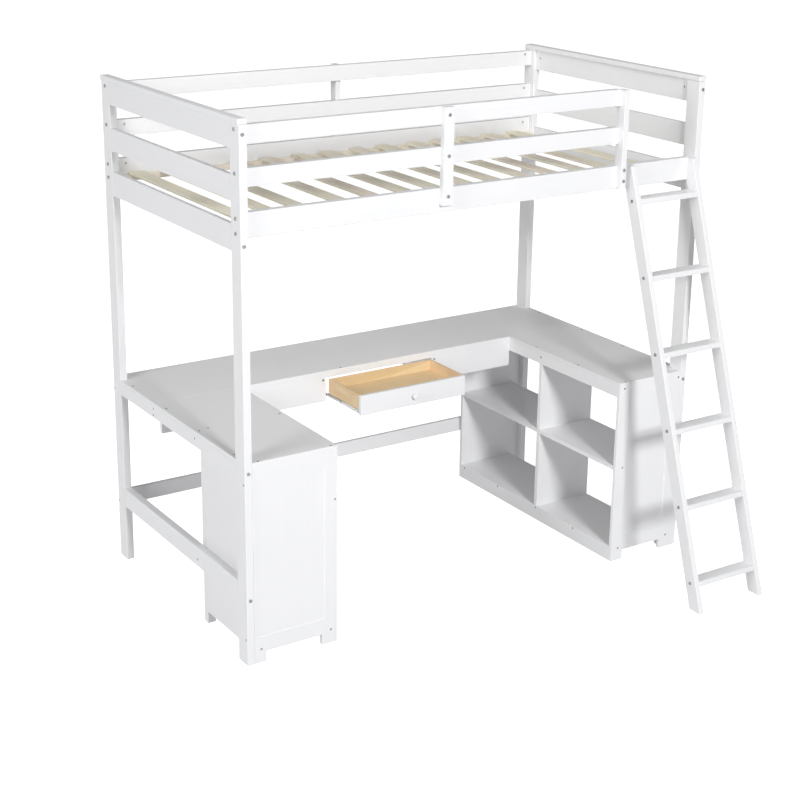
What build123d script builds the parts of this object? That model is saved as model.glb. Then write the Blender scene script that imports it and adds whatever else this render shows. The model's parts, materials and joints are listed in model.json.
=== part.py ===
from build123d import *
import os

# Loft bed with a desk, a cabinet, a bookcase and a ladder.
#
# All sizes are millimetres. The design works from the outer front corner of the left end
# frame: X runs along the bed, Y runs from the ladder's side to the back, Z is up from the
# floor. Each piece is moved, as it is written, so that the origin is on the floor at the
# middle of the whole object.

# --- Driving dimensions -------------------------------------------------------------------

LENGTH = 1988.0           # over both end frames
WIDTH = 1097.0            # over the posts, front to back
POST_TOP = 1912.0
POST_X = 29.0             # post section along the bed
POST_Y = 68.0             # post section across the bed
BOARD = 29.0              # thickness of the structural rails
END_RAIL = 18.0           # thickness of the end frames' upper rails
PANEL = 15.0              # thickness of the desk tops and cabinet panels
APRON = 18.0              # thickness of the desk's inner aprons and crossboard
EDGE = 2.0                # easing of the edges of structural boards
PANEL_EDGE = 1.0          # easing of the edges of panels

CAP_HEIGHT = 20.0
CAP_OUT = 5.0             # how far an end cap stands out past the end frame
CAP_IN = 2.0

END_TOP_RAIL = (1828.0, POST_TOP)
END_MIDDLE_RAIL = (1657.0, 1743.0)
END_BED_RAIL = (1488.0, 1580.0)
SIDE_RAIL = (1535.0, 1622.0)
GUARD_TOP = (1846.0, 1908.0)
GUARD_MIDDLE = (1705.0, 1767.0)
LEFT_STRETCHER = (229.0, 306.0)
REAR_STRETCHER = (218.0, 280.0)

GUARD_POST = 24.5         # thickness of a guard post
GUARD_POST_Z = (1562.0, 1907.0)
FRONT_GUARD_POST_X = (787.0, 829.0)
ENTRY_POST_X = (1589.0, 1612.0)
ENTRY_POST_Y = (-6.0, 37.0)
ENTRY_POST_BOTTOM = 1541.0
REAR_GUARD_POST_X = (995.5, 1020.0)
REAR_GUARD_POST_DEPTH = 40.0

SLAT_WIDTH = 58.0
SLAT_THICK = 10.0
SLAT_TOP = 1570.0
SLAT_PLAY = 3.5           # between a slat's end and a side rail
SLAT_LEFTS = (72, 193, 317, 488, 627, 769, 897, 1040, 1167, 1312, 1435, 1573, 1698, 1835)
LEDGER = 22.0

STRINGER = 22.0           # ladder stringer thickness
STRINGER_DEPTH = 57.7     # horizontal depth of a slanted stringer
LADDER_SLOPE = 0.3245     # run of the ladder for each unit of rise
LADDER_REACH = 480.0      # how far the stringers' back edges stand out at the floor
LADDER_LEFT = 1632.0
RUNG_COUNT = 6
RUNG_FIRST = 104.8
RUNG_STEP = 277.2
RUNG_DEPTH = 56.0
RUNG_THICK = 22.0

DESK_TOP = 759.0
DESK_UNDER = DESK_TOP - PANEL
WING_Y = 722.0            # where the wings meet the rear section
LEFT_WING_X = 364.5
RIGHT_WING_X = 1645.0
APRON_BOTTOM = 698.0
CROSSBOARD_BOTTOM = 632.0
DRAWER_OPENING = (741.5, 1246.5)
DRAWER_HEAD = 730.0       # top of the drawer's notch in the crossboard

PANEL_CLEAR = 40.0        # floor gap below the two front panels
RECESS = 3.0              # depth of the sunk field of a framed panel
FIELD_BOTTOM = 100.0      # lower edge of the front panels' sunk fields
CABINET_BACK = 375.0
LEG = 32.0
LEG_Y = (366.0, 398.0)
BOTTOM_SHELF = (46.0, 62.0)
BOOK_DEPTH = 1920.0       # outer edge of the bookcase shelves
DIVIDER_Y = (494.0, 512.0)
BOOK_SHELF = (393.0, 410.0)
CABINET_SHELF = (382.0, 397.0)
REAR_PANEL_Y = (1053.0, 1068.0)

DOOR_Y = (17.0, 364.0)
DOOR_Z = (64.0, 696.0)
HINGE_X = 368.0
HINGE_Y = 365.0
HINGE_ZS = (130.0, 630.0)
HINGE_HEIGHT = 51.0

KNOB_RADIUS = 12.5
KNOB_NECK = 8.0
KNOB_HEAD = 14.0

DRAWER_FRONT_Y = 470.0    # front face of the drawer, drawn out
DRAWER_X = (749.0, 1239.0)
DRAWER_Z = (646.0, 727.0)
DRAWER_BOX_Z = (652.0, 727.0)
DRAWER_FLOOR_Z = (684.0, 688.0)
DRAWER_DEPTH = 245.0
DRAWER_WALL = 12.0
DRAWER_TRAVEL = WING_Y - DRAWER_FRONT_Y
RUNNER_Z = (653.0, 667.0)
RUNNER_MIDDLE_Z = (655.0, 665.0)
RUNNER_LENGTH = 230.0
RUNNER_STEEL = 2.0        # thickness of one runner member
RUNNER_PLAY = 0.4

BOLT_RADIUS = 3.0
BOLT_HEAD_RADIUS = 6.5
BOLT_HEAD_HEIGHT = 3.0
BOLT_SOCKET_RADIUS = 2.4
BOLT_SOCKET_DEPTH = 1.8
NUT_RADIUS = 5.0
NUT_LENGTH = 20.0
SHORT_NUT_LENGTH = 12.0   # for the end frames' thin upper rails
END_NUT_REACH = 28.0      # from a post to the barrel nuts of the end frame's rails
LONG_NUT_REACH = 36.0     # from a post to the barrel nuts of the long rails
FIT_GAP = 0.1             # radial clearance of a fastener in its hole
SCREW_RADIUS = 2.0
SCREW_HEAD_RADIUS = 4.5
SCREW_HEAD_HEIGHT = 2.5

# --- Places worked out from them ----------------------------------------------------------

REAR_Y = WIDTH - POST_Y
RIGHT_X = LENGTH - POST_X
RAIL_FRONT_Y = (POST_Y - BOARD) / 2
FRONT_RAIL_Y = (RAIL_FRONT_Y, RAIL_FRONT_Y + BOARD)
REAR_RAIL_Y = (WIDTH - FRONT_RAIL_Y[1], WIDTH - FRONT_RAIL_Y[0])
END_INNER_Y = (POST_Y, REAR_Y)
BAY_X = (POST_X, RIGHT_X)
LEFT_FRAME_X = (0.0, POST_X)
RIGHT_FRAME_X = (RIGHT_X, LENGTH)
LEFT_RAIL_X = (0.0, END_RAIL)
RIGHT_RAIL_X = (LENGTH - END_RAIL, LENGTH)
FRONT_GUARD_X = (POST_X, ENTRY_POST_X[0])
GUARD_POST_Y = (FRONT_RAIL_Y[0] - GUARD_POST, FRONT_RAIL_Y[0])
REAR_GUARD_POST_Y = (REAR_RAIL_Y[1], REAR_RAIL_Y[1] + REAR_GUARD_POST_DEPTH)
APRON_Z = (APRON_BOTTOM, DESK_UNDER)
REAR_APRON_Y = (WIDTH - APRON, WIDTH)
CROSSBOARD_Y = (WING_Y, WING_Y + APRON)
INNER_LEFT_X = (LEFT_WING_X - APRON, LEFT_WING_X)
INNER_RIGHT_X = (RIGHT_WING_X, RIGHT_WING_X + APRON)
LADDER_X = (LADDER_LEFT, RIGHT_X)
RUNG_X = (LADDER_X[0] + STRINGER, LADDER_X[1] - STRINGER)
FRONT_MOST = -LADDER_REACH - STRINGER_DEPTH
REAR_MOST = REAR_GUARD_POST_Y[1] + BOLT_HEAD_HEIGHT
MAGNET_Y = (10.0, PANEL)
MIDDLE = Vector(LENGTH / 2, (FRONT_MOST + REAR_MOST) / 2, 0)

# --- Shapes shared by many pieces ---------------------------------------------------------


def span_box(x, y, z):
    """A plain box that fills three (low, high) spans."""
    low_corner = (Align.MIN, Align.MIN, Align.MIN)
    return Pos(x[0], y[0], z[0]) * Box(x[1] - x[0], y[1] - y[0], z[1] - z[0], align=low_corner)


def board(x, y, z, edge=EDGE):
    """A board that fills three spans, with every edge eased."""
    solid = span_box(x, y, z)
    return fillet(solid.edges(), edge)


def upright_edges(solid, radius):
    """Ease only the edges of a solid that run up and down."""
    return fillet(solid.edges().filter_by(Axis.Z), radius)


def rod(seat, radius, length, start=0.0):
    """A cylinder on a fastener's axis, from start to start + length beyond its seat."""
    bottom = (Align.CENTER, Align.CENTER, Align.MIN)
    return seat * Pos(0, 0, start) * Cylinder(radius, length, align=bottom)


def seat_at(point, way):
    """The plane of a fastener's seat: its Z axis points into the wood."""
    return Plane(origin=point, z_dir=way)


def group(pieces):
    """Several separate solids of one node."""
    return Compound([solid for piece in pieces for solid in piece.solids()])


def crosses(first, second):
    """True if two bounding boxes share some volume."""
    return all(
        low_a < high_b and low_b < high_a
        for low_a, high_a, low_b, high_b in (
            (first.min.X, first.max.X, second.min.X, second.max.X),
            (first.min.Y, first.max.Y, second.min.Y, second.max.Y),
            (first.min.Z, first.max.Z, second.min.Z, second.max.Z),
        )
    )


# --- Fasteners: each list gives both the fasteners and the holes they sit in ---------------

LEFT, RIGHT = (-1, 0, 0), (1, 0, 0)
FRONTWARD, BACKWARD = (0, -1, 0), (0, 1, 0)
DOWN = (0, 0, -1)
POST_BOLT_Y = POST_Y / 2
END_BOLT_X = POST_X / 2
UPPER_BOLT_X = 11.5       # from an end frame's outer face to the upper rails' bolts
SIDE_RAIL_BOLT_ZS = (1552.0, 1602.0)
GUARD_BOLT_ZS = (1750.0, 1894.0)
LEFT_LOW_BOLT_ZS = (248.5, 722.0)
RIGHT_LOW_BOLT_ZS = (722.0,)
UPPER_BOLT_ZS = (1514.0, 1880.5)
GUARD_POST_BOLT_ZS = (1594.5, 1737.0, 1880.0)
LADDER_HOOK_Z = 1577.0


def stringer_back(z):
    """The Y of the stringers' back edges at a height."""
    return LADDER_SLOPE * z - LADDER_REACH


def rung_middle(index):
    """The Y and Z of the middle of a rung, counted from the floor."""
    z = RUNG_FIRST + RUNG_STEP * index
    return stringer_back(z) - STRINGER_DEPTH / 2, z


def end_frame_bolts():
    """Through the depth of the posts into the ends of the end frames' rails."""
    length = POST_Y + END_NUT_REACH + NUT_RADIUS
    columns = (
        (END_BOLT_X, LEFT_LOW_BOLT_ZS),
        (LENGTH - END_BOLT_X, RIGHT_LOW_BOLT_ZS),
        (UPPER_BOLT_X, UPPER_BOLT_ZS),
        (LENGTH - UPPER_BOLT_X, UPPER_BOLT_ZS),
    )
    bolts = []
    for x, heights in columns:
        for z in heights:
            bolts.append(((x, 0, z), BACKWARD, length))
            bolts.append(((x, WIDTH, z), FRONTWARD, length))
    return bolts


def long_rail_bolts():
    """Through the thickness of the posts into the ends of the long rails."""
    length = POST_X + LONG_NUT_REACH + NUT_RADIUS
    bolts = []
    for z in SIDE_RAIL_BOLT_ZS + GUARD_BOLT_ZS:
        bolts.append(((0, POST_BOLT_Y, z), RIGHT, length))
        bolts.append(((0, WIDTH - POST_BOLT_Y, z), RIGHT, length))
        bolts.append(((LENGTH, WIDTH - POST_BOLT_Y, z), LEFT, length))
    for z in SIDE_RAIL_BOLT_ZS:
        bolts.append(((LENGTH, POST_BOLT_Y, z), LEFT, length))
    return bolts


def guard_post_bolts():
    """Through the guard posts into the long rails, and into the guard rails' free ends."""
    bite = 22.0
    length = GUARD_POST + bite
    front_x = sum(FRONT_GUARD_POST_X) / 2
    rear_x = sum(REAR_GUARD_POST_X) / 2
    entry_x = sum(ENTRY_POST_X) / 2
    rail_end_y = (FRONT_RAIL_Y[0] + ENTRY_POST_Y[1]) / 2
    bolts = []
    for z in GUARD_POST_BOLT_ZS:
        bolts.append(((front_x, GUARD_POST_Y[0], z), BACKWARD, length))
        bolts.append(((rear_x, REAR_GUARD_POST_Y[1], z), FRONTWARD, REAR_GUARD_POST_DEPTH + bite))
    for z in (1567.0, 1608.5):
        bolts.append(((entry_x, ENTRY_POST_Y[0], z), BACKWARD, length))
    for z in GUARD_POST_BOLT_ZS[1:]:
        bolts.append(((ENTRY_POST_X[1], rail_end_y, z), LEFT, length + bite))
    return bolts


def ladder_bolts():
    """Through the stringers into the rungs, and through the side rail into the stringers."""
    bolts = []
    for index in range(RUNG_COUNT):
        y, z = rung_middle(index)
        bolts.append(((LADDER_X[0], y, z), RIGHT, STRINGER + 40))
        bolts.append(((LADDER_X[1], y, z), LEFT, STRINGER + 40))
    for x in (LADDER_X[0] + STRINGER / 2, LADDER_X[1] - STRINGER / 2):
        bolts.append(((x, FRONT_RAIL_Y[1], LADDER_HOOK_Z), FRONTWARD, BOARD + 25))
    return bolts


def nut_seats():
    """The mouths of the barrel nuts, on the rails' inner faces, and the nuts' lengths."""
    columns = (
        (POST_X, LEFT, LEFT_LOW_BOLT_ZS, NUT_LENGTH),
        (RIGHT_X, RIGHT, RIGHT_LOW_BOLT_ZS, NUT_LENGTH),
        (LEFT_RAIL_X[1], LEFT, UPPER_BOLT_ZS, SHORT_NUT_LENGTH),
        (RIGHT_RAIL_X[0], RIGHT, UPPER_BOLT_ZS, SHORT_NUT_LENGTH),
    )
    seats = []
    for x, way, heights, length in columns:
        for z in heights:
            for y in (POST_Y + END_NUT_REACH, REAR_Y - END_NUT_REACH):
                seats.append(((x, y, z), way, length))
    left_x, right_x = POST_X + LONG_NUT_REACH, RIGHT_X - LONG_NUT_REACH
    for z in SIDE_RAIL_BOLT_ZS + GUARD_BOLT_ZS:
        seats.append(((left_x, FRONT_RAIL_Y[1], z), FRONTWARD, NUT_LENGTH))
        seats.append(((left_x, REAR_RAIL_Y[0], z), BACKWARD, NUT_LENGTH))
        seats.append(((right_x, REAR_RAIL_Y[0], z), BACKWARD, NUT_LENGTH))
    for z in SIDE_RAIL_BOLT_ZS:
        seats.append(((right_x, FRONT_RAIL_Y[1], z), FRONTWARD, NUT_LENGTH))
    return seats


def frame_screws():
    """Through the posts and the left end's rails into the desk and the cabinet."""
    deep = POST_X + 30
    shallow = POST_X + 22
    screws = []
    for x, way in ((0, RIGHT), (LENGTH, LEFT)):
        screws += [((x, 9, z), way, deep) for z in (98.5, 682.0)]
        screws += [((x, 1088, z), way, deep) for z in (238.0, 711.5)]
    screws += [((0, 731, z), RIGHT, deep) for z in (710.0, 735.0)]
    screws += [((0, 382, 730), RIGHT, shallow), ((0, 385, 258), RIGHT, shallow)]
    return screws


def panel_screws():
    """Through the upright panels into the shelves and rails behind them."""
    length = PANEL + 30
    screws = [((x, 0, 53), BACKWARD, length) for x in (54.7, 338.0, 1680.0, 1933.5)]
    screws += [((1681, 0, 401), BACKWARD, length), ((355, 0, 557), BACKWARD, MAGNET_Y[0] - 1)]
    screws += [((x, 0, 734), BACKWARD, 28) for x in (1671.0, 1949.5)]
    screws += [((RIGHT_WING_X, y, 54), RIGHT, length) for y in (247, 500, 774, 1026)]
    screws += [((RIGHT_WING_X, 503, 727), RIGHT, length)]
    screws += [((x, WING_Y, 722), BACKWARD, length) for x in (729, 1259)]
    return screws


def desk_top_screws():
    """Down through the desk tops into the aprons, legs and panels under them."""
    long, short = PANEL + 30, PANEL + 15
    screws = []
    for y in (103, 374, 645, 943):
        screws += [((x, y, DESK_TOP), DOWN, short) for x in (END_BOLT_X, LENGTH - END_BOLT_X)]
    screws += [((x, 7.5, DESK_TOP), DOWN, long) for x in (55, 341, 1680)]
    screws += [((x, 385, DESK_TOP), DOWN, long) for x in (55, 346)]
    screws += [((1654, y, DESK_TOP), DOWN, long) for y in (271, 547)]
    screws += [((813, 731, DESK_TOP), DOWN, PANEL + 10)]
    return screws


BOLTS = end_frame_bolts() + long_rail_bolts() + guard_post_bolts() + ladder_bolts()
SCREWS = frame_screws() + panel_screws() + desk_top_screws()


def bed_bolt(point, way, length):
    """A domed head with a hexagon socket, and a plain shank."""
    seat = seat_at(point, way)
    head = rod(seat, BOLT_HEAD_RADIUS, BOLT_HEAD_HEIGHT, -BOLT_HEAD_HEIGHT)
    rim = head.edges().filter_by(GeomType.CIRCLE).sort_by(Axis(point, way))[0]
    dome = fillet(rim, 2.0)
    socket = extrude(seat * Pos(0, 0, -BOLT_HEAD_HEIGHT) * RegularPolygon(BOLT_SOCKET_RADIUS, 6), BOLT_SOCKET_DEPTH)
    return dome - socket + rod(seat, BOLT_RADIUS, length)


def barrel_nut(mouth, way, length):
    """A cross dowel with a screwdriver slot and a hole for its bolt."""
    seat = seat_at(mouth, way)
    slot = seat * Box(NUT_RADIUS * 2, 1.6, 2.4)
    return drilled(rod(seat, NUT_RADIUS, length) - slot, BOLT_HOLES)


def wood_screw(point, way, length):
    """A flat head, level with the surface, with a cross recess, and a plain shank."""
    seat = seat_at(point, way)
    cross = seat * Box(4.6, 1.0, 2.0) + seat * Box(1.0, 4.6, 2.0)
    head = rod(seat, SCREW_HEAD_RADIUS, SCREW_HEAD_HEIGHT) - cross
    return head + rod(seat, SCREW_RADIUS, length)


def bolt_hole(point, way, length):
    return rod(seat_at(point, way), BOLT_RADIUS + FIT_GAP, length + 1)


def nut_hole(mouth, way, length):
    return rod(seat_at(mouth, way), NUT_RADIUS + FIT_GAP, length + FIT_GAP)


def screw_hole(point, way, length):
    seat = seat_at(point, way)
    sink = rod(seat, SCREW_HEAD_RADIUS + FIT_GAP, SCREW_HEAD_HEIGHT)
    return sink + rod(seat, SCREW_RADIUS + FIT_GAP, length + 1)


def with_bounds(solids):
    return [(solid, solid.bounding_box()) for solid in solids]


def drilled(solid, holes):
    """Cut from a solid each hole that reaches into its bounding box."""
    bounds = solid.bounding_box()
    for hole, hole_bounds in holes:
        if crosses(bounds, hole_bounds):
            solid = solid - hole
    return solid


BOLT_HOLES = with_bounds([bolt_hole(*bolt) for bolt in BOLTS])
HOLES = (
    BOLT_HOLES
    + with_bounds([nut_hole(*seat) for seat in nut_seats()])
    + with_bounds([screw_hole(*screw) for screw in SCREWS])
)

# --- End frames ---------------------------------------------------------------------------


def post(x, y):
    """One upright of an end frame, with its long edges eased."""
    return upright_edges(span_box(x, y, (0, POST_TOP)), EDGE)


def end_caps():
    """The flat boards laid over the tops of the two end frames."""
    z = (POST_TOP, POST_TOP + CAP_HEIGHT)
    left = board((-CAP_OUT, POST_X + CAP_IN), (0, WIDTH), z, 4.0)
    right = board((RIGHT_X - CAP_IN, LENGTH + CAP_OUT), (0, WIDTH), z, 4.0)
    return group([left, right])


def end_rails(x):
    """The top, middle and bed-level rails between the posts of one end frame."""
    heights = (END_TOP_RAIL, END_MIDDLE_RAIL, END_BED_RAIL)
    return group(board(x, END_INNER_Y, z) for z in heights)


def guard_rails(x, y):
    """The top and middle guard rails of one side."""
    return group(board(x, y, z) for z in (GUARD_TOP, GUARD_MIDDLE))


# --- Sleeping level -----------------------------------------------------------------------


def guard_post_entry():
    """The post where the front guard rails stop, notched over the side rail."""
    whole = span_box(ENTRY_POST_X, ENTRY_POST_Y, (ENTRY_POST_BOTTOM, GUARD_POST_Z[1]))
    notch_y = (FRONT_RAIL_Y[0], ENTRY_POST_Y[1])
    notch = span_box(ENTRY_POST_X, notch_y, (ENTRY_POST_BOTTOM, SIDE_RAIL[1]))
    return upright_edges(whole - notch, EDGE)


def slats():
    """The mattress slats, laid across the bed at uneven distances."""
    y = (FRONT_RAIL_Y[1] + SLAT_PLAY, REAR_RAIL_Y[0] - SLAT_PLAY)
    z = (SLAT_TOP - SLAT_THICK, SLAT_TOP)
    return group(board((x, x + SLAT_WIDTH), y, z) for x in SLAT_LEFTS)


def slat_ledgers():
    """The battens along the side rails that carry the slats."""
    under = SLAT_TOP - SLAT_THICK
    z = (under - LEDGER, under)
    front = board(BAY_X, (FRONT_RAIL_Y[1], FRONT_RAIL_Y[1] + LEDGER), z)
    rear = board(BAY_X, (REAR_RAIL_Y[0] - LEDGER, REAR_RAIL_Y[0]), z)
    return group([front, rear])


# --- Ladder -------------------------------------------------------------------------------


def stringer(left):
    """A slanted side of the ladder, cut upright where it meets the side rail."""
    top = SIDE_RAIL[1]
    rail_face = FRONT_RAIL_Y[0]
    outline = Polygon(
        (stringer_back(0) - STRINGER_DEPTH, 0),
        (stringer_back(0), 0),
        (rail_face, (rail_face + LADDER_REACH) / LADDER_SLOPE),
        (rail_face, top),
        (stringer_back(top) - STRINGER_DEPTH, top),
        align=None,
    )
    solid = extrude(Plane.YZ.offset(left) * outline, STRINGER)
    slanted = [edge for edge in solid.edges() if edge.length > top]
    return fillet(slanted, EDGE)


def rung(index):
    """One flat step between the stringers."""
    y, z = rung_middle(index)
    depth, thick = RUNG_DEPTH / 2, RUNG_THICK / 2
    return board(RUNG_X, (y - depth, y + depth), (z - thick, z + thick))


# --- Desk ---------------------------------------------------------------------------------


def desk_board(points):
    """A desk top cut to an outline, with its edges eased."""
    outline = Pos(0, 0, DESK_UNDER) * Polygon(*points, align=None)
    solid = extrude(outline, PANEL)
    return fillet(solid.edges(), PANEL_EDGE)


def desk_top_left():
    return desk_board([
        (POST_X, 0), (LEFT_WING_X, 0), (LEFT_WING_X, WING_Y),
        (0, WING_Y), (0, POST_Y), (POST_X, POST_Y),
    ])


def desk_top_right():
    return desk_board([
        (RIGHT_WING_X, 0), (RIGHT_X, 0), (RIGHT_X, POST_Y),
        (LENGTH, POST_Y), (LENGTH, WING_Y), (RIGHT_WING_X, WING_Y),
    ])


def desk_top_rear():
    return desk_board([
        (0, WING_Y), (LENGTH, WING_Y), (LENGTH, REAR_Y), (RIGHT_X, REAR_Y),
        (RIGHT_X, WIDTH), (POST_X, WIDTH), (POST_X, REAR_Y), (0, REAR_Y),
    ])


def crossboard():
    """The deep board under the rear section's front edge, notched for the drawer."""
    whole = span_box((POST_X, RIGHT_WING_X), CROSSBOARD_Y, (CROSSBOARD_BOTTOM, DESK_UNDER))
    notch = span_box(DRAWER_OPENING, CROSSBOARD_Y, (CROSSBOARD_BOTTOM, DRAWER_HEAD))
    return fillet((whole - notch).edges(), PANEL_EDGE)


def left_inner_aprons():
    """The left wing's inner apron, in two lengths that meet the cabinet's rear leg."""
    lengths = ((PANEL, LEG_Y[0]), (LEG_Y[1], WING_Y))
    return group(board(INNER_LEFT_X, y, APRON_Z, PANEL_EDGE) for y in lengths)


def drawer_carriers():
    """The two boards that hang the drawer runners under the desk."""
    y = (CROSSBOARD_Y[1], REAR_APRON_Y[0])
    z = (CROSSBOARD_BOTTOM + 8, DESK_UNDER)
    left = board((DRAWER_OPENING[0] - APRON, DRAWER_OPENING[0]), y, z, PANEL_EDGE)
    right = board((DRAWER_OPENING[1], DRAWER_OPENING[1] + APRON), y, z, PANEL_EDGE)
    return group([left, right])


# --- Panels that stand on the floor -------------------------------------------------------


def footed_panel(x, y, feet):
    """An upright panel with a foot at each side and a gap above the floor between them."""
    whole = span_box(x, y, (0, DESK_UNDER))
    gap = span_box((x[0] + feet[0], x[1] - feet[1]), y, (0, PANEL_CLEAR))
    return fillet((whole - gap).edges(), PANEL_EDGE)


def sunk_field(x):
    """The shallow block that sinks a front panel's field below its frame."""
    return span_box(x, (0, RECESS), (FIELD_BOTTOM, APRON_BOTTOM))


def cabinet_front():
    """The cabinet's framed front panel, on two feet."""
    panel = footed_panel((POST_X, LEFT_WING_X), (0, PANEL), (47.0, 63.5))
    field = sunk_field((POST_X + 10, LEFT_WING_X - 50))
    return panel - field - door_magnet()


def bookcase_front():
    """The bookcase's framed front panel, on two feet."""
    panel = footed_panel((RIGHT_WING_X, RIGHT_X), (0, PANEL), (60.0, 60.0))
    return panel - sunk_field((RIGHT_WING_X + 50, RIGHT_X - 50))


# --- Cabinet ------------------------------------------------------------------------------

CABINET_SIDE_X = (POST_X, POST_X + PANEL)
OUTER_LEG_X = (POST_X, POST_X + LEG)
INNER_LEG_X = (LEFT_WING_X - LEG, LEFT_WING_X)
DOOR_X = (LEFT_WING_X - PANEL, LEFT_WING_X)


def cabinet_shelf(x_end, z):
    """A level board between the front and back panels, notched round the two rear legs."""
    main = span_box((CABINET_SIDE_X[1], x_end), (PANEL, LEG_Y[0]), z)
    tongue = span_box((OUTER_LEG_X[1], INNER_LEG_X[0]), (LEG_Y[0], CABINET_BACK), z)
    return main + tongue


def cabinet_legs():
    """The two rear legs of the cabinet."""
    z = (0, DESK_UNDER)
    return group(upright_edges(span_box(x, LEG_Y, z), EDGE) for x in (OUTER_LEG_X, INNER_LEG_X))


def cabinet_door():
    """The framed door between the front panel and the inner rear leg."""
    frame = 55.0
    solid = board(DOOR_X, DOOR_Y, DOOR_Z, PANEL_EDGE)
    field_y = (DOOR_Y[0] + frame, DOOR_Y[1] - frame)
    field_z = (DOOR_Z[0] + frame, DOOR_Z[1] - frame)
    return solid - span_box((DOOR_X[1] - RECESS, DOOR_X[1]), field_y, field_z)


def knob(seat):
    """A turned knob on a short neck, its axis along the seat's Z."""
    upright = Plane.XY
    head = rod(upright, KNOB_RADIUS, KNOB_HEAD, KNOB_NECK)
    top_rim = head.edges().filter_by(GeomType.CIRCLE).sort_by(Axis.Z)[-1]
    head = fillet(top_rim, 7.0)
    low_rim = head.edges().filter_by(GeomType.CIRCLE).sort_by(Axis.Z)[0]
    head = fillet(low_rim, 5.0)
    return seat * (head + rod(upright, 6.0, KNOB_NECK))


HINGE_BARREL = 3.2
HINGE_PIN = 1.45
HINGE_BORE = 1.5
LEAF_THICK = 0.8
LEAF_REACH = 24.0
KNUCKLE = HINGE_HEIGHT / 3


def hinge_knuckle(z, height):
    bottom = (Align.CENTER, Align.CENTER, Align.MIN)
    return Pos(HINGE_X, HINGE_Y, z) * Cylinder(HINGE_BARREL, height, align=bottom)


def fixed_hinge_leaf(z):
    """The leaf on the leg, with the knuckles above and below the door's."""
    leaf_x = (HINGE_X - LEAF_REACH, HINGE_X - 2.2)
    plate = span_box(leaf_x, (LEG_Y[0] - LEAF_THICK, LEG_Y[0]), (z, z + HINGE_HEIGHT))
    middle = (z + KNUCKLE, z + 2 * KNUCKLE)
    window = span_box((HINGE_X - HINGE_BARREL - 0.5, HINGE_X), (HINGE_Y, LEG_Y[0]), middle)
    knuckles = hinge_knuckle(z, KNUCKLE) + hinge_knuckle(z + 2 * KNUCKLE, KNUCKLE)
    bottom = (Align.CENTER, Align.CENTER, Align.MIN)
    bore = Pos(HINGE_X, HINGE_Y, z) * Cylinder(HINGE_BORE, HINGE_HEIGHT, align=bottom)
    return plate - window + knuckles - bore


def door_hinge_leaf(z):
    """The leaf on the door's edge, with the middle knuckle and the pin."""
    play = 0.3
    leaf_x = (HINGE_X - LEAF_REACH, HINGE_X - 2.2)
    plate = span_box(leaf_x, (DOOR_Y[1], DOOR_Y[1] + LEAF_THICK), (z, z + HINGE_HEIGHT))
    clear_x = (HINGE_X - HINGE_BARREL - 0.5, HINGE_X)
    for low in (z, z + 2 * KNUCKLE - play):
        plate = plate - span_box(clear_x, (DOOR_Y[1], HINGE_Y), (low, low + KNUCKLE + play))
    bottom = (Align.CENTER, Align.CENTER, Align.MIN)
    pin = Pos(HINGE_X, HINGE_Y, z) * Cylinder(HINGE_PIN, HINGE_HEIGHT, align=bottom)
    return plate + hinge_knuckle(z + KNUCKLE + play, KNUCKLE - 2 * play) + pin


def door_magnet():
    """The round magnet let into the front panel behind the door's free edge."""
    seat = seat_at((355, MAGNET_Y[0], 557), BACKWARD)
    return rod(seat, 5.0, MAGNET_Y[1] - MAGNET_Y[0])


# --- Bookcase -----------------------------------------------------------------------------

INSIDE_Y = (PANEL, REAR_PANEL_Y[0])


def bookcase_divider():
    """The upright between the two bays, notched under the inner apron."""
    lower = span_box((RIGHT_WING_X, BOOK_DEPTH), DIVIDER_Y, (BOTTOM_SHELF[1], APRON_BOTTOM))
    upper = span_box((INNER_RIGHT_X[1], BOOK_DEPTH), DIVIDER_Y, APRON_Z)
    return lower + upper


def bookcase_shelves():
    """The bottom shelf, and a middle shelf in each bay."""
    x = (RIGHT_WING_X, BOOK_DEPTH)
    bays = ((INSIDE_Y[0], DIVIDER_Y[0]), (DIVIDER_Y[1], INSIDE_Y[1]))
    middle = [board(x, y, BOOK_SHELF, PANEL_EDGE) for y in bays]
    bottom = board((RIGHT_WING_X + PANEL, BOOK_DEPTH), INSIDE_Y, BOTTOM_SHELF, PANEL_EDGE)
    return group(middle + [bottom])


def bookcase_blocks():
    """The cleat under the wing's front edge, and the block behind the outer foot."""
    cleat = span_box((INNER_RIGHT_X[1], RIGHT_X), (PANEL, PANEL + 18), (720, DESK_UNDER))
    block = span_box((BOOK_DEPTH, RIGHT_X), (PANEL, PANEL + 35), (0, BOTTOM_SHELF[1]))
    return group([cleat, block])


# --- Drawer -------------------------------------------------------------------------------

BOX_Y = (DRAWER_FRONT_Y + PANEL, DRAWER_FRONT_Y + DRAWER_DEPTH)
INNER_BOX_X = (DRAWER_X[0] + DRAWER_WALL, DRAWER_X[1] - DRAWER_WALL)
DRAWER_MIDDLE_X = sum(DRAWER_X) / 2


def mirrored_pair(x, y, z):
    """A strip beside the drawer's left side and its mirror image on the right."""
    mirror_x = (2 * DRAWER_MIDDLE_X - x[1], 2 * DRAWER_MIDDLE_X - x[0])
    return group([board(x, y, z, 0.6), board(mirror_x, y, z, 0.6)])


def drawer_sides():
    left_x = (DRAWER_X[0], INNER_BOX_X[0])
    right_x = (INNER_BOX_X[1], DRAWER_X[1])
    return group(board(x, BOX_Y, DRAWER_BOX_Z, PANEL_EDGE) for x in (left_x, right_x))


def runners_fixed():
    """The runner members screwed to the carriers."""
    start = CROSSBOARD_Y[1] + 2
    x = (DRAWER_OPENING[0], DRAWER_OPENING[0] + RUNNER_STEEL)
    return mirrored_pair(x, (start, start + RUNNER_LENGTH), RUNNER_Z)


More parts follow.
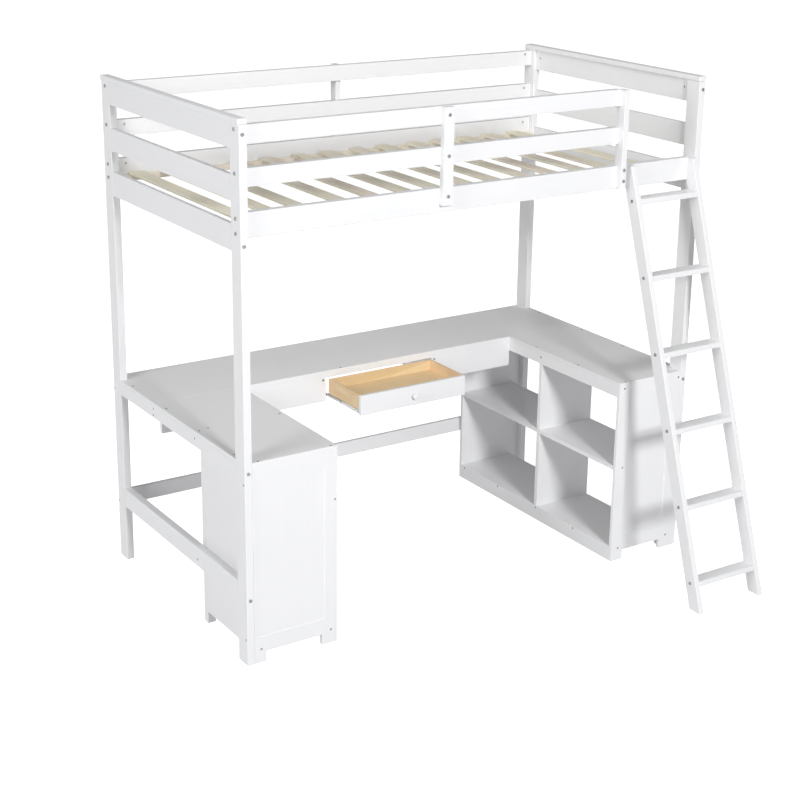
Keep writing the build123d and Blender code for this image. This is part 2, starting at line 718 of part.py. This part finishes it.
def runners_middle():
    """The middle members, half as far out as the drawer."""
    start = CROSSBOARD_Y[1] - DRAWER_TRAVEL / 2
    low = DRAWER_OPENING[0] + RUNNER_STEEL + RUNNER_PLAY
    high = DRAWER_X[0] - RUNNER_STEEL - 2 * RUNNER_PLAY
    return mirrored_pair((low, high), (start, start + RUNNER_LENGTH), RUNNER_MIDDLE_Z)


def runners_drawer():
    """The runner members screwed to the drawer's sides."""
    x = (DRAWER_X[0] - RUNNER_STEEL - RUNNER_PLAY, DRAWER_X[0])
    return mirrored_pair(x, BOX_Y, RUNNER_Z)


# --- The whole bed ------------------------------------------------------------------------


def frame_nodes():
    """The end frames, the long rails and the guards."""
    y_front, y_rear = (0, POST_Y), (REAR_Y, WIDTH)
    return {
        "post_left_front": post(LEFT_FRAME_X, y_front),
        "post_left_rear": post(LEFT_FRAME_X, y_rear),
        "post_right_front": post(RIGHT_FRAME_X, y_front),
        "post_right_rear": post(RIGHT_FRAME_X, y_rear),
        "end_caps": end_caps(),
        "left_end_rails": end_rails(LEFT_RAIL_X),
        "right_end_rails": end_rails(RIGHT_RAIL_X),
        "left_stretcher": board(LEFT_FRAME_X, END_INNER_Y, LEFT_STRETCHER),
        "rear_stretcher": board(BAY_X, REAR_APRON_Y, REAR_STRETCHER),
        "front_side_rail": board(BAY_X, FRONT_RAIL_Y, SIDE_RAIL),
        "rear_side_rail": board(BAY_X, REAR_RAIL_Y, SIDE_RAIL),
        "front_guard_rails": guard_rails(FRONT_GUARD_X, FRONT_RAIL_Y),
        "rear_guard_rails": guard_rails(BAY_X, REAR_RAIL_Y),
        "front_guard_post": board(FRONT_GUARD_POST_X, GUARD_POST_Y, GUARD_POST_Z),
        "entry_guard_post": guard_post_entry(),
        "rear_guard_post": board(REAR_GUARD_POST_X, REAR_GUARD_POST_Y, GUARD_POST_Z),
        "slat_ledgers": slat_ledgers(),
        "slats": slats(),
    }


def ladder_nodes():
    return {
        "ladder_left_stringer": stringer(LADDER_X[0]),
        "ladder_right_stringer": stringer(RUNG_X[1]),
        "ladder_rungs": group(rung(index) for index in range(RUNG_COUNT)),
    }


def desk_nodes():
    return {
        "desk_top_left": desk_top_left(),
        "desk_top_right": desk_top_right(),
        "desk_top_rear": desk_top_rear(),
        "left_apron": board(LEFT_FRAME_X, END_INNER_Y, APRON_Z),
        "right_apron": board(RIGHT_FRAME_X, END_INNER_Y, APRON_Z),
        "rear_apron": board(BAY_X, REAR_APRON_Y, APRON_Z, PANEL_EDGE),
        "crossboard": crossboard(),
        "left_inner_aprons": left_inner_aprons(),
        "right_inner_apron": board(INNER_RIGHT_X, INSIDE_Y, APRON_Z, PANEL_EDGE),
        "drawer_carriers": drawer_carriers(),
    }


def cabinet_nodes():
    side_z = (BOTTOM_SHELF[0], DESK_UNDER)
    back_x = (OUTER_LEG_X[1], INNER_LEG_X[0])
    back_y = (CABINET_BACK, CABINET_BACK + PANEL)
    door_gap = 4.5
    return {
        "cabinet_front": cabinet_front(),
        "cabinet_side": board(CABINET_SIDE_X, (PANEL, LEG_Y[0]), side_z, PANEL_EDGE),
        "cabinet_back": board(back_x, back_y, side_z, PANEL_EDGE),
        "cabinet_legs": cabinet_legs(),
        "cabinet_bottom": cabinet_shelf(LEFT_WING_X, BOTTOM_SHELF),
        "cabinet_shelf": cabinet_shelf(DOOR_X[0] - door_gap, CABINET_SHELF),
        "cabinet_door": cabinet_door(),
        "door_knob": knob(seat_at((LEFT_WING_X, 45, 400), RIGHT)),
        "hinge_leaves_fixed": group(fixed_hinge_leaf(z) for z in HINGE_ZS),
        "hinge_leaves_door": group(door_hinge_leaf(z) for z in HINGE_ZS),
        "door_magnet": door_magnet(),
    }


def bookcase_nodes():
    base_x = (RIGHT_WING_X, RIGHT_WING_X + PANEL)
    return {
        "bookcase_front": bookcase_front(),
        "bookcase_rear": footed_panel((RIGHT_WING_X, RIGHT_X), REAR_PANEL_Y, (60.0, 60.0)),
        "bookcase_divider": bookcase_divider(),
        "bookcase_shelves": bookcase_shelves(),
        "bookcase_base": board(base_x, INSIDE_Y, (0, BOTTOM_SHELF[1]), PANEL_EDGE),
        "bookcase_blocks": bookcase_blocks(),
    }


def drawer_nodes():
    front_y = (DRAWER_FRONT_Y, DRAWER_FRONT_Y + PANEL)
    back_y = (BOX_Y[1] - DRAWER_WALL, BOX_Y[1])
    knob_seat = seat_at((DRAWER_MIDDLE_X, DRAWER_FRONT_Y, sum(DRAWER_Z) / 2), FRONTWARD)
    return {
        "drawer_front": board(DRAWER_X, front_y, DRAWER_Z, 1.5),
        "drawer_sides": drawer_sides(),
        "drawer_back": board(INNER_BOX_X, back_y, DRAWER_BOX_Z, PANEL_EDGE),
        "drawer_bottom": span_box(INNER_BOX_X, (BOX_Y[0], back_y[0]), DRAWER_FLOOR_Z),
        "drawer_knob": knob(knob_seat),
        "runners_fixed": runners_fixed(),
        "runners_middle": runners_middle(),
        "runners_drawer": runners_drawer(),
    }


def fastener_nodes():
    return {
        "bed_bolts": group(bed_bolt(*bolt) for bolt in BOLTS),
        "barrel_nuts": group(barrel_nut(*seat) for seat in nut_seats()),
        "wood_screws": group(wood_screw(*screw) for screw in SCREWS),
    }


def all_nodes():
    """Every node: the wooden ones with the fasteners' holes cut in them."""
    nodes = {}
    for family in (frame_nodes(), ladder_nodes(), desk_nodes(), cabinet_nodes(), bookcase_nodes()):
        for name, shape in family.items():
            nodes[name] = drilled(shape, HOLES)
    nodes.update(drawer_nodes())
    nodes.update(fastener_nodes())
    return nodes


os.makedirs("parts", exist_ok=True)
for node_name, node_shape in all_nodes().items():
    centred = Pos(-MIDDLE.X, -MIDDLE.Y, 0) * Compound(node_shape.solids())
    export_step(centred, f"parts/{node_name}.step")
print("origin in the design frame:", MIDDLE)
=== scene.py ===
import json
import math
import bpy
from mathutils import Matrix, Vector

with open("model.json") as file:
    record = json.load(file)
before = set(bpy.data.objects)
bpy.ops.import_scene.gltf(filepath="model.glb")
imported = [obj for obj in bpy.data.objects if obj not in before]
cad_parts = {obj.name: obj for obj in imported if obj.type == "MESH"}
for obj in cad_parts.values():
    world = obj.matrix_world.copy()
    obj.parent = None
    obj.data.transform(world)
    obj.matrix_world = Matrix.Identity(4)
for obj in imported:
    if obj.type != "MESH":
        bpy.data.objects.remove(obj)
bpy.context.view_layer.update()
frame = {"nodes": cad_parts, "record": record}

# Looks of a white painted loft bed with bare pine slats and a bare pine drawer box.
# Every length is in metres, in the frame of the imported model: X along the bed, Y from the
# ladder's side to the back, Z up from the floor.

LADDER_LEAN = math.atan(0.3245)     # the stringers' lean from upright

# Which way the grain of each painted piece runs. Pieces that aren't named run along X.
GRAIN_ALONG_Y = (
    "end_caps", "left_end_rails", "right_end_rails", "left_apron", "right_apron",
    "left_stretcher", "desk_top_left", "desk_top_right", "left_inner_aprons",
    "right_inner_apron", "drawer_carriers", "bookcase_base", "bookcase_shelves",
)
GRAIN_ALONG_Z = (
    "post_left_front", "post_left_rear", "post_right_front", "post_right_rear",
    "front_guard_post", "entry_guard_post", "rear_guard_post", "cabinet_front",
    "cabinet_side", "cabinet_back", "cabinet_legs", "cabinet_door", "bookcase_front",
    "bookcase_rear", "bookcase_divider",
)
GRAIN_ALONG_LADDER = ("ladder_left_stringer", "ladder_right_stringer")


# --- Shader graphs ------------------------------------------------------------------------


class Graph:
    """A material's node tree, built one node at a time."""

    def __init__(self, name):
        self.material = bpy.data.materials.new(name)
        self.material.use_nodes = True
        self.nodes = self.material.node_tree.nodes
        self.links = self.material.node_tree.links
        self.shader = self.nodes["Principled BSDF"]

    def add(self, kind, inputs=None, **settings):
        """Make a node; an input that is a socket is linked, any other value is set."""
        node = self.nodes.new(kind)
        for key, value in settings.items():
            setattr(node, key, value)
        for key, value in (inputs or {}).items():
            if isinstance(value, bpy.types.NodeSocket):
                self.links.new(value, node.inputs[key])
            else:
                node.inputs[key].default_value = value
        return node

    def math(self, operation, first, second):
        return self.add("ShaderNodeMath", {0: first, 1: second}, operation=operation).outputs[0]

    def ramp(self, factor, stops):
        """A colour ramp from (position, grey or colour) stops."""
        node = self.add("ShaderNodeValToRGB", {"Fac": factor})
        elements = node.color_ramp.elements
        while len(elements) < len(stops):
            elements.new(0.5)
        for element, (position, tone) in zip(elements, stops):
            colour = (tone, tone, tone) if isinstance(tone, float) else tone
            element.position = position
            element.color = (*colour, 1.0)
        return node.outputs["Color"]

    def noise(self, vector, scale, detail=3.0, roughness=0.5):
        values = {"Vector": vector, "Scale": scale, "Detail": detail, "Roughness": roughness}
        return self.add("ShaderNodeTexNoise", values).outputs["Fac"]

    def mix(self, factor, first, second, blend="MIX"):
        node = self.add("ShaderNodeMix", data_type="RGBA", blend_type=blend)
        for socket, value in ((node.inputs[0], factor), (node.inputs[6], first), (node.inputs[7], second)):
            if isinstance(value, bpy.types.NodeSocket):
                self.links.new(value, socket)
            else:
                socket.default_value = value
        return node.outputs[2]

    def bump(self, height, strength, distance, under=None):
        inputs = {"Height": height, "Strength": strength, "Distance": distance}
        if under is not None:
            inputs["Normal"] = under
        return self.add("ShaderNodeBump", inputs).outputs["Normal"]

    def finish(self, links=None, **constants):
        """Link sockets to the shader and set its constant values."""
        for key, socket in (links or {}).items():
            self.links.new(socket, self.shader.inputs[key])
        for key, value in constants.items():
            self.shader.inputs[key.replace("_", " ")].default_value = value
        return self.material


def grain_rotation(grain):
    """The turn that lays a piece's grain along the texture's X axis."""
    turns = {
        "x": (0, 0, 0),
        "y": (0, 0, -math.pi / 2),
        "z": (0, math.pi / 2, 0),
        "ladder": (-LADDER_LEAN, math.pi / 2, 0),
    }
    return turns[grain]


def grain_space(graph, grain, offset=0.0):
    """Texture coordinates whose X axis runs along the grain."""
    place = graph.add("ShaderNodeTexCoord").outputs["Object"]
    values = {"Vector": place, "Location": (offset, offset * 0.37, offset * 0.71)}
    turned = graph.add("ShaderNodeMapping", {**values, "Rotation": grain_rotation(grain)})
    return turned.outputs["Vector"]


def stretched(graph, vector, along, across):
    """Coordinates scaled differently along and across the grain."""
    node = graph.add("ShaderNodeMapping", {"Vector": vector, "Scale": (along, across, across)})
    return node.outputs["Vector"]


# --- Materials ----------------------------------------------------------------------------


def white_paint(grain):
    """Satin white paint over solid pine: the grain and the roller's stipple barely show."""
    graph = Graph(f"white_paint_{grain}")
    space = grain_space(graph, grain)
    cloud = graph.noise(space, 3.0, 2.0)
    grain_lines = graph.noise(stretched(graph, space, 2.2, 95.0), 1.0, 4.0, 0.6)
    stipple = graph.noise(space, 900.0, 2.0)
    tone = graph.ramp(cloud, ((0.25, (0.805, 0.808, 0.820)), (0.75, (0.825, 0.827, 0.836))))
    lined = graph.ramp(grain_lines, ((0.30, 0.988), (0.55, 1.0)))
    colour = graph.mix(1.0, tone, lined, "MULTIPLY")
    gloss = graph.ramp(graph.noise(space, 40.0, 3.0), ((0.3, 0.36), (0.7, 0.46)))
    relief = graph.bump(grain_lines, 0.06, 0.0004)
    relief = graph.bump(stipple, 0.05, 0.0002, relief)
    links = {"Base Color": colour, "Roughness": gloss, "Normal": relief}
    return graph.finish(links, IOR=1.48, Coat_Weight=0.12, Coat_Roughness=0.25)


def board_number(graph):
    """A random number that stays the same all over one board of a node."""
    return graph.add("ShaderNodeNewGeometry").outputs["Random Per Island"]


def pine(name, grain, light, dark, knot):
    """Bare planed pine: growth lines, fibres and a few knots, with a tint for each board."""
    graph = Graph(name)
    number = board_number(graph)
    shift = graph.add("ShaderNodeCombineXYZ", {"X": graph.math("MULTIPLY", number, 7.0)})
    still = grain_space(graph, grain, 0.13)
    shifted = graph.add("ShaderNodeVectorMath", {0: still, 1: shift.outputs[0]}, operation="ADD")
    space = shifted.outputs[0]
    warp = graph.noise(stretched(graph, space, 1.6, 9.0), 1.0, 3.0)
    lifted = graph.add("ShaderNodeCombineXYZ", {"Y": graph.math("MULTIPLY", warp, 0.05)})
    wavy = graph.add("ShaderNodeVectorMath", {0: space, 1: lifted.outputs[0]}, operation="ADD")
    rings = stretched(graph, wavy.outputs[0], 0.6, 1.0)
    growth_values = {"Vector": rings, "Scale": 26.0, "Distortion": 2.4, "Detail": 2.0}
    growth = graph.add("ShaderNodeTexWave", growth_values, wave_type="BANDS", bands_direction="Y")
    fibres = graph.noise(stretched(graph, space, 5.0, 420.0), 1.0, 3.0, 0.65)
    wood = graph.ramp(growth.outputs["Fac"], ((0.15, light), (0.85, dark)))
    wood = graph.mix(0.35, wood, graph.ramp(fibres, ((0.3, 0.80), (0.6, 1.0))), "MULTIPLY")
    knot_values = {"Vector": stretched(graph, space, 2.2, 6.0), "Scale": 1.0}
    knots_at = graph.add("ShaderNodeTexVoronoi", knot_values, feature="F1")
    knots = graph.ramp(knots_at.outputs["Distance"], ((0.02, 1.0), (0.07, 0.0)))
    wood = graph.mix(knots, wood, (*knot, 1.0))
    tints = ((0.0, (0.98, 0.93, 0.93)), (0.45, (1.0, 1.0, 0.95)), (1.0, (0.93, 0.96, 0.90)))
    wood = graph.mix(1.0, wood, graph.ramp(number, tints), "MULTIPLY")
    relief = graph.bump(fibres, 0.25, 0.0004)
    relief = graph.bump(growth.outputs["Fac"], 0.10, 0.0004, relief)
    rough = graph.ramp(fibres, ((0.2, 0.62), (0.8, 0.48)))
    return graph.finish({"Base Color": wood, "Roughness": rough, "Normal": relief}, IOR=1.45)


def metal(name, base, bright, roughness):
    """Plated steel with a faint mottled tone and fine scratches."""
    graph = Graph(name)
    place = graph.add("ShaderNodeTexCoord").outputs["Object"]
    mottle = graph.noise(place, 260.0, 4.0)
    scratches = graph.noise(stretched(graph, place, 300.0, 4000.0), 1.0, 2.0)
    colour = graph.ramp(mottle, ((0.3, base), (0.7, bright)))
    gloss = graph.ramp(mottle, ((0.3, roughness), (0.7, roughness + 0.12)))
    relief = graph.bump(scratches, 0.08, 0.0001)
    return graph.finish({"Base Color": colour, "Roughness": gloss, "Normal": relief}, Metallic=1.0)


PAPER_GLOW = 0.90


def floor_paper():
    """Seamless white studio paper, which glows so that it stays pale."""
    graph = Graph("studio_paper")
    place = graph.add("ShaderNodeTexCoord").outputs["Object"]
    fibre = graph.noise(place, 400.0, 3.0)
    colour = graph.ramp(fibre, ((0.3, 0.93), (0.7, 0.95)))
    white = (1, 1, 1, 1)
    return graph.finish({"Base Color": colour}, Roughness=0.9, Emission_Color=white,
                        Emission_Strength=PAPER_GLOW)


def dress(node, material):
    """Give a CAD node one material all over."""
    data = frame["nodes"][node].data
    data.materials.clear()
    data.materials.append(material)


PINE_LIGHT = (0.850, 0.805, 0.700)
PINE_DARK = (0.790, 0.725, 0.600)
PINE_KNOT = (0.380, 0.250, 0.150)
DRAWER_LIGHT = (0.800, 0.615, 0.400)
DRAWER_DARK = (0.730, 0.525, 0.315)


def dress_everything():
    """Choose each node's material from its slot in the record and its grain."""
    paints = {grain: white_paint(grain) for grain in ("x", "y", "z", "ladder")}
    slats = pine("slat_pine", "y", PINE_LIGHT, PINE_DARK, PINE_KNOT)
    ledgers = pine("ledger_pine", "x", PINE_LIGHT, PINE_DARK, PINE_KNOT)
    drawer_long = pine("drawer_pine_x", "x", DRAWER_LIGHT, DRAWER_DARK, PINE_KNOT)
    drawer_deep = pine("drawer_pine_y", "y", DRAWER_LIGHT, DRAWER_DARK, PINE_KNOT)
    bare = {
        "slats": slats,
        "slat_ledgers": ledgers,
        "drawer_sides": drawer_deep,
        "drawer_back": drawer_long,
        "drawer_bottom": drawer_long,
    }
    steels = {
        "bolt_steel": metal("bolt_steel", (0.22, 0.22, 0.225), (0.34, 0.34, 0.345), 0.30),
        "zinc_steel": metal("zinc_steel", (0.42, 0.42, 0.43), (0.56, 0.56, 0.57), 0.30),
    }
    grains = {name: "y" for name in GRAIN_ALONG_Y}
    grains.update({name: "z" for name in GRAIN_ALONG_Z})
    grains.update({name: "ladder" for name in GRAIN_ALONG_LADDER})
    for part in frame["record"]["subparts"]:
        node, slot = part["node"], part["material_slot"]
        if slot == "white_paint":
            dress(node, paints[grains.get(node, "x")])
        elif slot == "bare_pine":
            dress(node, bare[node])
        else:
            dress(node, steels[slot])


# --- Stage, light and camera --------------------------------------------------------------

FLOOR_SIZE = 80.0
DOME_RADIUS = 39.0

# The surround's brightness from straight down (0) through the horizon (0.5) to straight up (1).
WORLD_TONES = ((0.0, 0.34), (0.5, 0.47), (0.64, 0.47), (0.82, 0.20), (1.0, 0.08))
WORLD_WARMTH = 0.985        # red and green as a part of blue

# Each softbox: its name, place, the point it faces, its size each way and its power in watts.
SOFTBOXES = (
    ("key", (-1.1, -7.4, 4.3), (0.0, 0.0, 1.0), 1.2, 460.0),
    ("fill", (-7.3, -1.6, 3.8), (0.0, 0.0, 0.8), 3.0, 262.0),
    ("top", (0.0, 0.2, 6.2), (0.0, 0.2, 0.0), 3.0, 42.0),
)

CAMERA_PLACE = (-3.3630, -4.8787, 2.8180)
CAMERA_AZIMUTH = math.radians(33.163)
CAMERA_DESCENT = math.radians(17.380)
CAMERA_ROLL = math.radians(0.772)
CAMERA_SENSOR = 36.0
CAMERA_FOCAL_RATIO = 2.04604        # focal length over the sensor's width
CAMERA_SHIFT = (-0.0029, -0.0758)


def hang_backdrop():
    """A white dome round the stage, which the camera sees but which lights nothing."""
    bpy.ops.mesh.primitive_uv_sphere_add(segments=64, ring_count=32, radius=DOME_RADIUS)
    dome = bpy.context.object
    dome.name = "backdrop"
    graph = Graph("backdrop_white")
    black, white = (0, 0, 0, 1), (1, 1, 1, 1)
    glowing = graph.finish(Base_Color=black, Roughness=1.0, Emission_Color=white, Emission_Strength=1.0)
    dome.data.materials.append(glowing)
    dome.visible_diffuse = False
    dome.visible_glossy = False
    dome.visible_shadow = False


def lay_floor():
    """A wide plain floor under the bed, which throws no light on it."""
    bpy.ops.mesh.primitive_plane_add(size=FLOOR_SIZE, location=(0, 0, 0))
    floor = bpy.context.object
    floor.name = "floor"
    floor.data.materials.append(floor_paper())
    floor.visible_diffuse = False


def set_world():
    """A surround that is brightest round the horizon, like a studio's pale walls."""
    world = bpy.data.worlds.new("surround")
    bpy.context.scene.world = world
    world.use_nodes = True
    nodes, links = world.node_tree.nodes, world.node_tree.links
    way = nodes.new("ShaderNodeTexCoord")
    parts = nodes.new("ShaderNodeSeparateXYZ")
    height = nodes.new("ShaderNodeMapRange")
    ramp = nodes.new("ShaderNodeValToRGB")
    elements = ramp.color_ramp.elements
    while len(elements) < len(WORLD_TONES):
        elements.new(0.5)
    for element, (position, tone) in zip(elements, WORLD_TONES):
        element.position = position
        element.color = (tone * WORLD_WARMTH, tone * WORLD_WARMTH, tone, 1.0)
    height.inputs["From Min"].default_value = -1.0
    links.new(way.outputs["Generated"], parts.inputs["Vector"])
    links.new(parts.outputs["Z"], height.inputs["Value"])
    links.new(height.outputs["Result"], ramp.inputs["Fac"])
    links.new(ramp.outputs["Color"], nodes["Background"].inputs["Color"])


def aim(thing, target):
    """Turn a light so that it faces a point."""
    way = Vector(target) - thing.location
    thing.rotation_euler = way.to_track_quat("-Z", "Y").to_euler()


def add_softbox(name, place, target, size, power):
    """A square studio light."""
    light = bpy.data.lights.new(name, "AREA")
    light.size = size
    light.energy = power
    thing = bpy.data.objects.new(name, light)
    bpy.context.scene.collection.objects.link(thing)
    thing.location = place
    aim(thing, target)


def set_camera():
    """The three-quarter view from the left end of the ladder's side, above the desk."""
    azimuth, descent, roll = CAMERA_AZIMUTH, CAMERA_DESCENT, CAMERA_ROLL
    ahead = Vector((
        math.sin(azimuth) * math.cos(descent),
        math.cos(azimuth) * math.cos(descent),
        -math.sin(descent),
    ))
    right = Vector((math.cos(azimuth), -math.sin(azimuth), 0))
    up = right.cross(ahead)
    rolled_right = math.cos(roll) * right + math.sin(roll) * up
    rolled_up = math.cos(roll) * up - math.sin(roll) * right
    turn = Matrix((rolled_right, rolled_up, -ahead)).transposed().to_4x4()
    camera = bpy.data.cameras.new("camera")
    camera.sensor_width = CAMERA_SENSOR
    camera.lens = CAMERA_FOCAL_RATIO * CAMERA_SENSOR
    camera.shift_x, camera.shift_y = CAMERA_SHIFT
    camera.dof.use_dof = False
    thing = bpy.data.objects.new("camera", camera)
    bpy.context.scene.collection.objects.link(thing)
    thing.matrix_world = Matrix.Translation(CAMERA_PLACE) @ turn
    bpy.context.scene.camera = thing


dress_everything()
lay_floor()
hang_backdrop()
set_world()
for softbox in SOFTBOXES:
    add_softbox(*softbox)
set_camera()
bpy.context.scene.view_settings.view_transform = "Standard"
